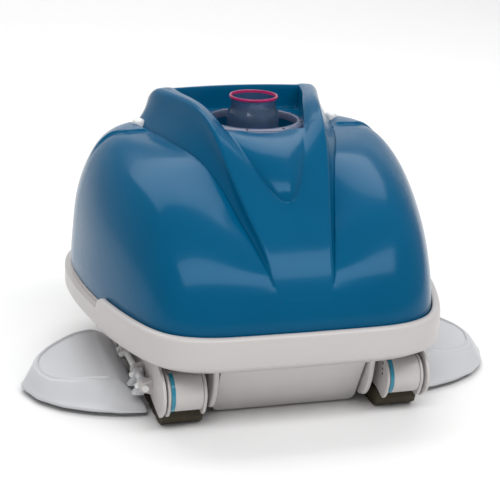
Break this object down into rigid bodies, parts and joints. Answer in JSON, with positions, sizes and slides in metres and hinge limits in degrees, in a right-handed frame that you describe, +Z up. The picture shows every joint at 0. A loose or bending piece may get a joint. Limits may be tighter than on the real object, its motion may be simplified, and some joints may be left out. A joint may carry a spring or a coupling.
{
  "type": "pool cleaner",
  "caption": "Suction pool cleaner with a domed cover, swivelling hose cone, walking pods with rubber shoes, hinged side wings and hinged suction flaps.",
  "frame": {"origin": "on the floor, under the middle of the bounding box", "axes": "+Z up, -Y towards the front bumper, +X to the cleaner's left-hand wing as seen from behind it"},
  "size_m": [0.396, 0.3, 0.226],
  "materials": {
    "blue_shell": "glossy deep blue",
    "pale_plastic": "satin warm grey",
    "wing_plastic": "satin cool grey",
    "flap_plastic": "satin mid grey",
    "dark_plastic": "matt black",
    "white_plastic": "satin white",
    "acetal": "natural acetal",
    "smoky_clear": "smoky translucent",
    "magenta_clear": "magenta translucent",
    "teal_plastic": "teal",
    "shoe_rubber": "matt dark olive rubber",
    "steel": "brushed stainless",
    "foam": "closed-cell foam"
  },
  "bodies": {
    "chassis": {"upper_cover": "blue_shell", "lower_body": "pale_plastic", "front_bumper": "pale_plastic", "left_skirt": "pale_plastic", "right_skirt": "pale_plastic", "throat_intake": "dark_plastic", "turbine_housing_lower": "dark_plastic", "turbine_housing_upper": "dark_plastic", "turbine_bush_left": "acetal", "turbine_bush_right": "acetal", "reduction_axle": "steel", "crank_bearing_left": "dark_plastic", "crank_bearing_right": "dark_plastic", "gear_plates": "dark_plastic", "swivel_deck": "dark_plastic", "cone_spigot": "dark_plastic", "cone_thrust_ring": "acetal", "cone_guard_ring": "pale_plastic", "left_wing_pin": "white_plastic", "right_wing_pin": "white_plastic", "front_flap_pin": "steel", "rear_flap_pin": "steel", "float_block": "foam", "ballast_weight": "steel", "cover_screws": "steel", "cover_catches": "white_plastic", "left_pod_axle": "steel", "right_pod_axle": "steel"},
    "turbine": {"turbine_rotor": "acetal", "turbine_shaft": "steel", "turbine_pinion": "acetal"},
    "reduction": {"reduction_gear": "acetal"},
    "crank": {"crank_gear": "acetal", "crankshaft": "steel"},
    "steering": {"crown_gear": "acetal", "steering_spindle": "steel", "spindle_gear": "acetal"},
    "cone": {"hose_cone": "smoky_clear", "cone_rim_ring": "magenta_clear", "swivel_gear": "acetal"},
    "left_pod": {"left_pod_shell": "pale_plastic", "left_pod_cheeks": "pale_plastic", "left_pod_arm": "dark_plastic", "left_shoe": "shoe_rubber", "left_nose_ring": "teal_plastic"},
    "right_pod": {"right_pod_shell": "pale_plastic", "right_pod_cheeks": "pale_plastic", "right_pod_arm": "dark_plastic", "right_shoe": "shoe_rubber", "right_nose_ring": "teal_plastic"},
    "left_wing": {"left_wing": "wing_plastic"},
    "right_wing": {"right_wing": "wing_plastic"},
    "front_flap": {"front_flap": "flap_plastic"},
    "rear_flap": {"rear_flap": "flap_plastic"}
  },
  "joints": [
    {"name": "turbine_spin", "type": "hinge", "parent": "chassis", "child": "turbine", "pos_m": [0, 0.019, 0.112], "axis": [1, 0, 0], "continuous": true},
    {"name": "reduction_spin", "type": "hinge", "parent": "chassis", "child": "reduction", "pos_m": [-0.05, -0.0025, 0.08898], "axis": [1, 0, 0], "continuous": true},
    {"name": "crank_spin", "type": "hinge", "parent": "chassis", "child": "crank", "pos_m": [0, -0.035, 0.08326], "axis": [1, 0, 0], "continuous": true},
    {"name": "steering_spin", "type": "hinge", "parent": "chassis", "child": "steering", "pos_m": [-0.0615, 0.019, 0.15], "axis": [0, 0, 1], "continuous": true},
    {"name": "cone_swivel", "type": "hinge", "parent": "chassis", "child": "cone", "pos_m": [0, 0.019, 0.19], "axis": [0, 0, 1], "continuous": true},
    {"name": "left_pod_step", "type": "hinge", "parent": "chassis", "child": "left_pod", "pos_m": [-0.0867, -0.01, 0.04], "axis": [1, 0, 0], "range_deg": [-4, 4]},
    {"name": "right_pod_step", "type": "hinge", "parent": "chassis", "child": "right_pod", "pos_m": [0.0867, -0.01, 0.04], "axis": [1, 0, 0], "range_deg": [-4, 4]},
    {"name": "left_wing_fold", "type": "hinge", "parent": "chassis", "child": "left_wing", "pos_m": [-0.112, -0.04, 0.027], "axis": [0, 1, 0], "range_deg": [-3, 28]},
    {"name": "right_wing_fold", "type": "hinge", "parent": "chassis", "child": "right_wing", "pos_m": [0.112, -0.04, 0.027], "axis": [0, 1, 0], "range_deg": [-28, 3]},
    {"name": "front_flap_swing", "type": "hinge", "parent": "chassis", "child": "front_flap", "pos_m": [0, -0.118, 0.047], "axis": [1, 0, 0], "range_deg": [0, 30]},
    {"name": "rear_flap_swing", "type": "hinge", "parent": "chassis", "child": "rear_flap", "pos_m": [0, 0.118, 0.047], "axis": [1, 0, 0], "range_deg": [-30, 0]}
  ],
  "couplings": [
    {"joint": "reduction_spin", "follows": "turbine_spin", "ratio": -0.4},
    {"joint": "crank_spin", "follows": "turbine_spin", "ratio": 0.15},
    {"joint": "steering_spin", "follows": "turbine_spin", "ratio": -0.5},
    {"joint": "cone_swivel", "follows": "turbine_spin", "ratio": 0.23214},
    {"joint": "right_pod_step", "follows": "left_pod_step", "ratio": -1}
  ]
}
